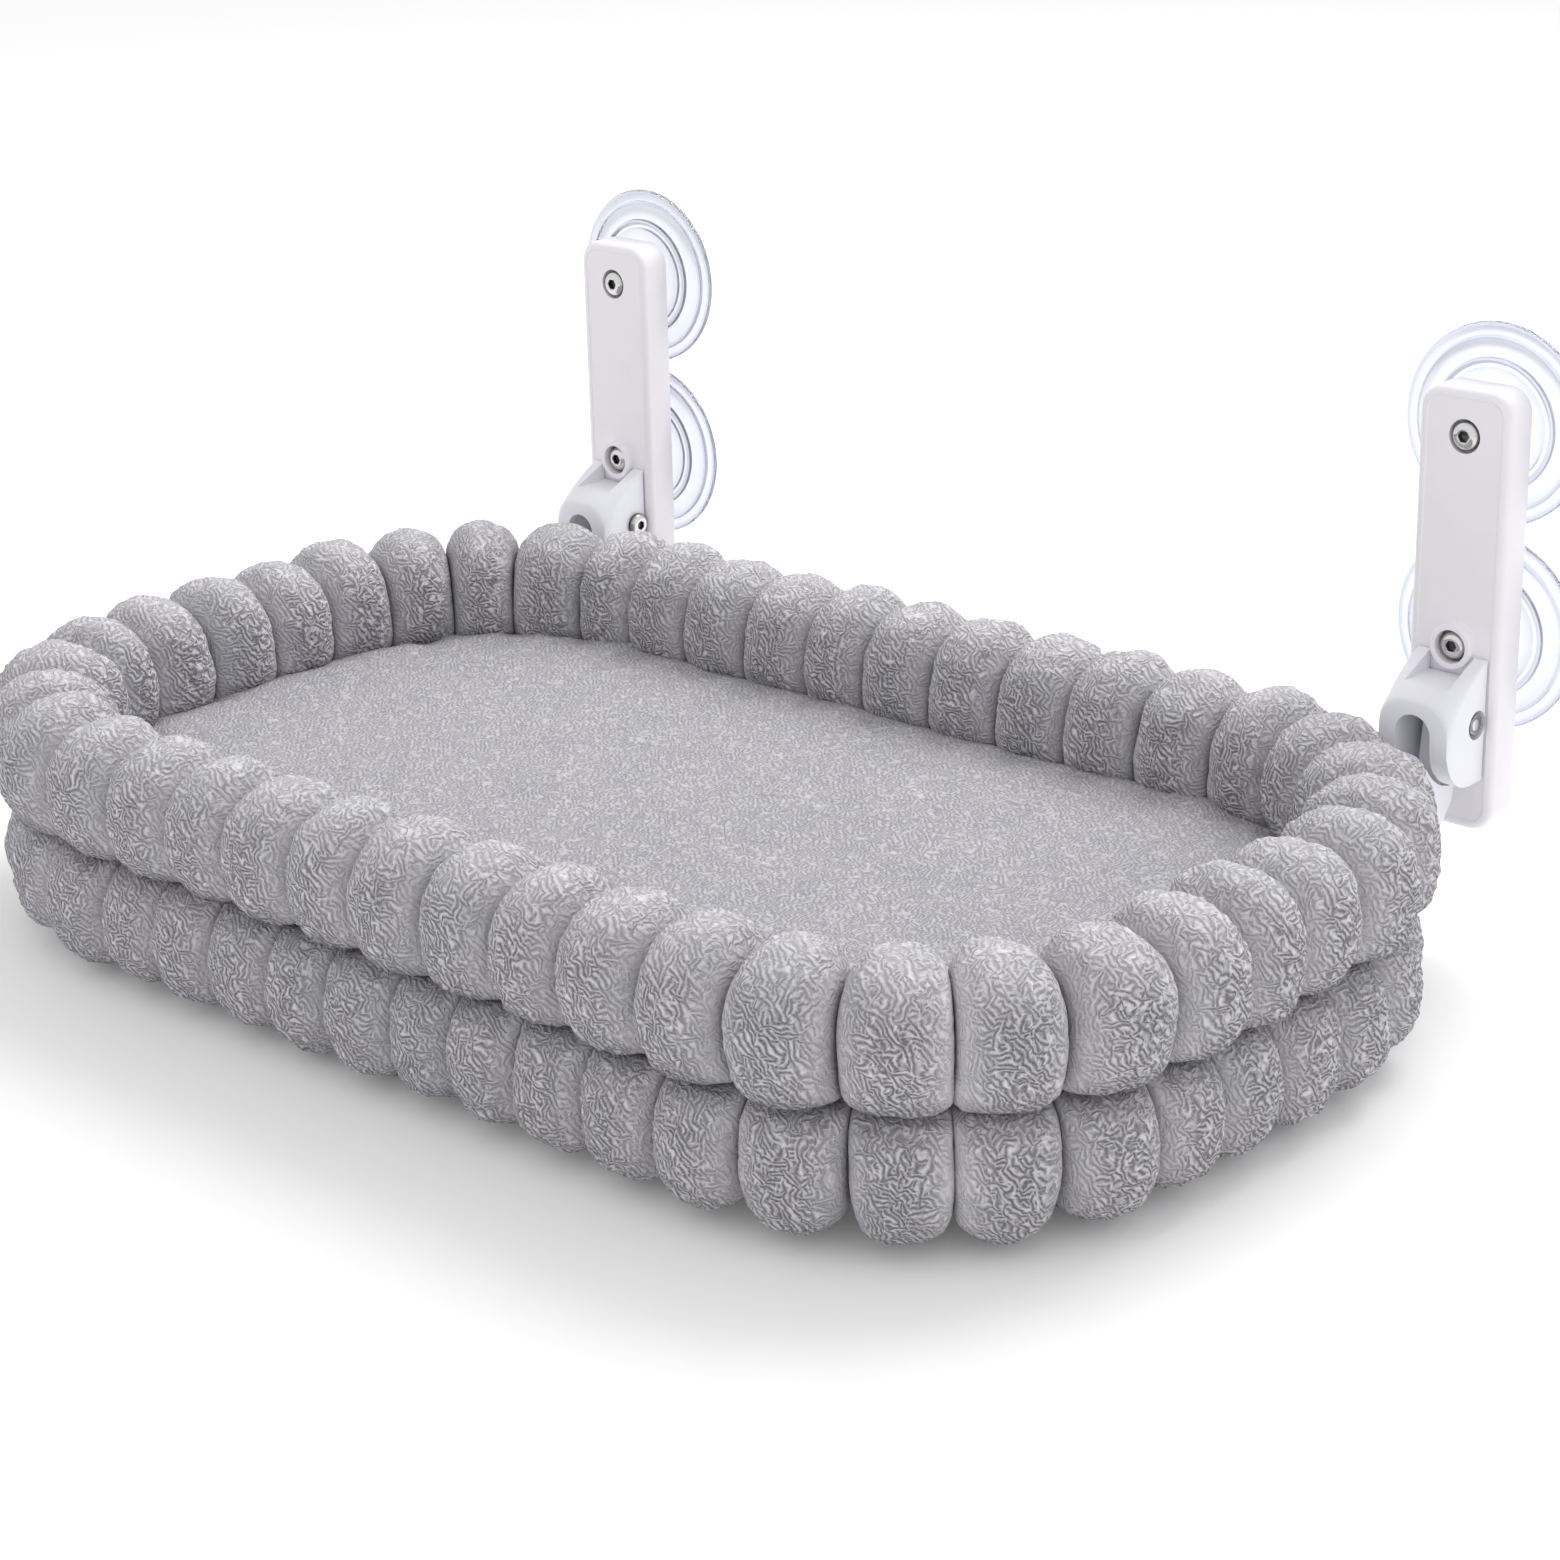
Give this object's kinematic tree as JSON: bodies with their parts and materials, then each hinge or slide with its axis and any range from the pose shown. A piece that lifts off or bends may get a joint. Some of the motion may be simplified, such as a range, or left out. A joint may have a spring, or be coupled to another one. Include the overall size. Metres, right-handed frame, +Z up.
{
  "type": "cat window perch",
  "caption": "Folding cat bed with plush bolster rolls on two arms, each hinged to a bar that suction cups hold on window glass.",
  "frame": {"origin": "on the glass plane, midway between the two brackets, at the height of the hinge axis", "axes": "+X along the hinge axis towards the right bracket, +Y into the glass, +Z up"},
  "size_m": [0.606, 0.4163, 0.2494],
  "materials": {
    "white_abs": "moulded satin",
    "gloss_abs": "moulded gloss",
    "clear_pvc": "clear soft PVC",
    "chrome_screws": "polished",
    "zinc_hardware": "zinc plated",
    "nylon": "natural",
    "painted_tube": "powder coat",
    "sling_cloth": "plain weave",
    "short_pile": "short pile",
    "plush": "long curly pile plush"
  },
  "bodies": {
    "brackets": {"left_block_screw": "zinc_hardware", "left_hinge_block": "gloss_abs", "left_lower_cup_nut": "zinc_hardware", "left_lower_cup_screw": "chrome_screws", "left_lower_suction_cup": "clear_pvc", "left_mounting_bar": "white_abs", "left_pivot_bolt": "chrome_screws", "left_pivot_nut": "zinc_hardware", "left_upper_cup_nut": "zinc_hardware", "left_upper_cup_screw": "chrome_screws", "left_upper_suction_cup": "clear_pvc", "right_block_screw": "zinc_hardware", "right_hinge_block": "gloss_abs", "right_lower_cup_nut": "zinc_hardware", "right_lower_cup_screw": "chrome_screws", "right_lower_suction_cup": "clear_pvc", "right_mounting_bar": "white_abs", "right_pivot_bolt": "chrome_screws", "right_pivot_nut": "zinc_hardware", "right_upper_cup_nut": "zinc_hardware", "right_upper_cup_screw": "chrome_screws", "right_upper_suction_cup": "clear_pvc"},
    "bed": {"base_sling": "sling_cloth", "floor_pad": "short_pile", "front_frame_tube": "painted_tube", "left_arm": "gloss_abs", "left_frame_tube": "painted_tube", "left_front_arm_screw": "zinc_hardware", "left_front_corner_bend": "painted_tube", "left_pivot_bush": "nylon", "left_rear_arm_screw": "zinc_hardware", "left_rear_corner_bend": "painted_tube", "lower_bolster": "plush", "rear_frame_tube": "painted_tube", "right_arm": "gloss_abs", "right_frame_tube": "painted_tube", "right_front_arm_screw": "zinc_hardware", "right_front_corner_bend": "painted_tube", "right_pivot_bush": "nylon", "right_rear_arm_screw": "zinc_hardware", "right_rear_corner_bend": "painted_tube", "underside_cover": "sling_cloth", "upper_bolster": "plush"}
  },
  "joints": [
    {"name": "bed_fold", "type": "hinge", "parent": "brackets", "child": "bed", "pos_m": [0, -0.0317, 0], "axis": [-1, 0, 0], "range_deg": [0, 80]}
  ]
}
